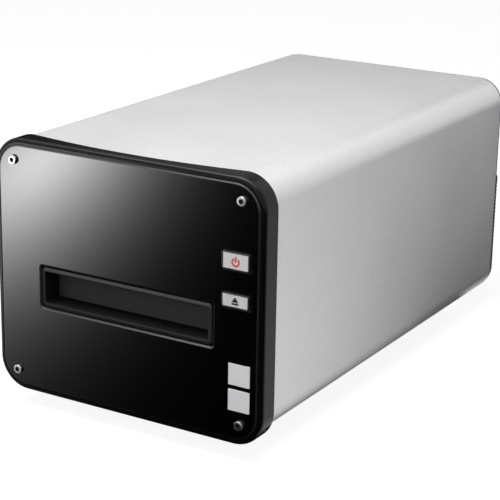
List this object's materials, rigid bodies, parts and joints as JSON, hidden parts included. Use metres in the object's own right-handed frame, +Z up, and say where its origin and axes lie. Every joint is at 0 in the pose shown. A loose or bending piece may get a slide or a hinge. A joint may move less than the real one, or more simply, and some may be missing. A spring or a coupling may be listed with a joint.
{
  "type": "film negative scanner",
  "caption": "Desktop film negative scanner: silver sleeve, glossy black front with a film slot behind a hinged dust door, push buttons, rear rocker switch and belt-driven rollers.",
  "frame": {"origin": "middle of the footprint, on the plane that the feet stand on", "axes": "+X to the right seen from the front, +Y from the slotted front to the rear, +Z up"},
  "size_m": [0.21, 0.376, 0.189],
  "materials": {
    "sleeve_aluminium": "bead-blasted, silver anodised",
    "bezel_black": "satin black, fine texture",
    "plate_gloss": "high-gloss black",
    "slot_grey": "satin dark grey",
    "door_grey": "satin dark grey",
    "screw_steel": "turned bright steel",
    "screw_dark": "black zinc",
    "badge_silver": "fine silver foil",
    "panel_black": "powder coat, fine texture",
    "cover_black": "matte black",
    "foot_rubber": "matte",
    "button_black": "satin black",
    "label_silver": "fine silver foil",
    "board_green": "solder mask",
    "sheet_zinc": "zinc-plated sheet",
    "table_black": "satin black",
    "shaft_steel": "ground",
    "roller_rubber": "ground rubber",
    "pulley_white": "moulded",
    "motor_dark": "dark coated",
    "belt_rubber": "matte",
    "cast_aluminium": "sand-cast",
    "board_white": "white solder mask",
    "diffuser_white": "opal",
    "mirror_silver": "front-silvered glass",
    "lens_black": "black anodised",
    "socket_metal": "nickel-plated",
    "inlet_black": "moulded"
  },
  "bodies": {
    "case": {"housing_sleeve": "sleeve_aluminium", "front_bezel": "bezel_black", "face_plate": "plate_gloss", "slot_frame": "slot_grey", "badge_upper": "badge_silver", "badge_lower": "badge_silver", "rear_panel": "panel_black", "rear_cover": "cover_black", "power_inlet": "inlet_black", "usb_socket": "socket_metal", "switch_frame": "inlet_black", "button_board": "board_green", "door_pin": "shaft_steel", "door_spring": "shaft_steel", "chassis": "sheet_zinc", "side_plate_left": "sheet_zinc", "side_plate_right": "sheet_zinc", "film_table": "table_black", "drive_motor": "motor_dark", "motor_belt": "belt_rubber", "link_belt": "belt_rubber", "light_unit": "cast_aluminium", "led_board": "board_white", "light_diffuser": "diffuser_white", "optics_bench": "cast_aluminium", "fold_mirror": "mirror_silver", "lens_barrel": "lens_black", "sensor_board": "board_green", "main_board": "board_green", "face_screw_1": "screw_steel", "rear_screw_1": "screw_dark", "foot_1": "foot_rubber", "foot_screw_1": "screw_steel", "face_screw_2": "screw_steel", "rear_screw_2": "screw_dark", "foot_2": "foot_rubber", "foot_screw_2": "screw_steel", "face_screw_3": "screw_steel", "rear_screw_3": "screw_dark", "foot_3": "foot_rubber", "foot_screw_3": "screw_steel", "face_screw_4": "screw_steel", "rear_screw_4": "screw_dark", "foot_4": "foot_rubber", "foot_screw_4": "screw_steel"},
    "door": {"dust_door": "door_grey"},
    "power_key": {"power_button": "button_black", "power_label": "label_silver"},
    "eject_key": {"eject_button": "button_black", "eject_label": "label_silver"},
    "rocker": {"switch_rocker": "inlet_black"},
    "rear_drive": {"rear_drive_shaft": "shaft_steel", "rear_drive_roller": "roller_rubber", "rear_pulley": "pulley_white"},
    "front_drive": {"front_drive_shaft": "shaft_steel", "front_drive_roller": "roller_rubber", "front_pulley": "pulley_white"},
    "motor_rotor": {"motor_pulley": "shaft_steel"},
    "front_pinch": {"front_pinch_roller": "shaft_steel"},
    "rear_pinch": {"rear_pinch_roller": "shaft_steel"}
  },
  "joints": [
    {"name": "door_swing", "type": "hinge", "parent": "case", "child": "door", "pos_m": [0, -0.1703, 0.1056], "axis": [1, 0, 0], "range_deg": [0, 80], "stiffness_Nm_per_rad": 0.002},
    {"name": "power_press", "type": "slide", "parent": "case", "child": "power_key", "axis": [0, 1, 0], "range_m": [0, 0.0012], "stiffness_N_per_m": 800},
    {"name": "eject_press", "type": "slide", "parent": "case", "child": "eject_key", "axis": [0, 1, 0], "range_m": [0, 0.0012], "stiffness_N_per_m": 800},
    {"name": "rocker_tilt", "type": "hinge", "parent": "case", "child": "rocker", "pos_m": [-0.055, 0.1825, 0.1404], "axis": [0, 0, 1], "range_deg": [0, 20]},
    {"name": "rear_drive_spin", "type": "hinge", "parent": "case", "child": "rear_drive", "pos_m": [0, -0.028, 0.0712], "axis": [1, 0, 0], "continuous": true},
    {"name": "front_drive_spin", "type": "hinge", "parent": "case", "child": "front_drive", "pos_m": [0, -0.124, 0.0712], "axis": [1, 0, 0], "continuous": true},
    {"name": "motor_spin", "type": "hinge", "parent": "case", "child": "motor_rotor", "pos_m": [0, 0.126, 0.0504], "axis": [1, 0, 0], "continuous": true},
    {"name": "front_pinch_spin", "type": "hinge", "parent": "case", "child": "front_pinch", "pos_m": [0, -0.124, 0.1022], "axis": [1, 0, 0], "continuous": true},
    {"name": "rear_pinch_spin", "type": "hinge", "parent": "case", "child": "rear_pinch", "pos_m": [0, -0.028, 0.1022], "axis": [1, 0, 0], "continuous": true}
  ],
  "couplings": [
    {"joint": "front_drive_spin", "follows": "rear_drive_spin", "ratio": 1},
    {"joint": "motor_spin", "follows": "rear_drive_spin", "ratio": 2}
  ]
}
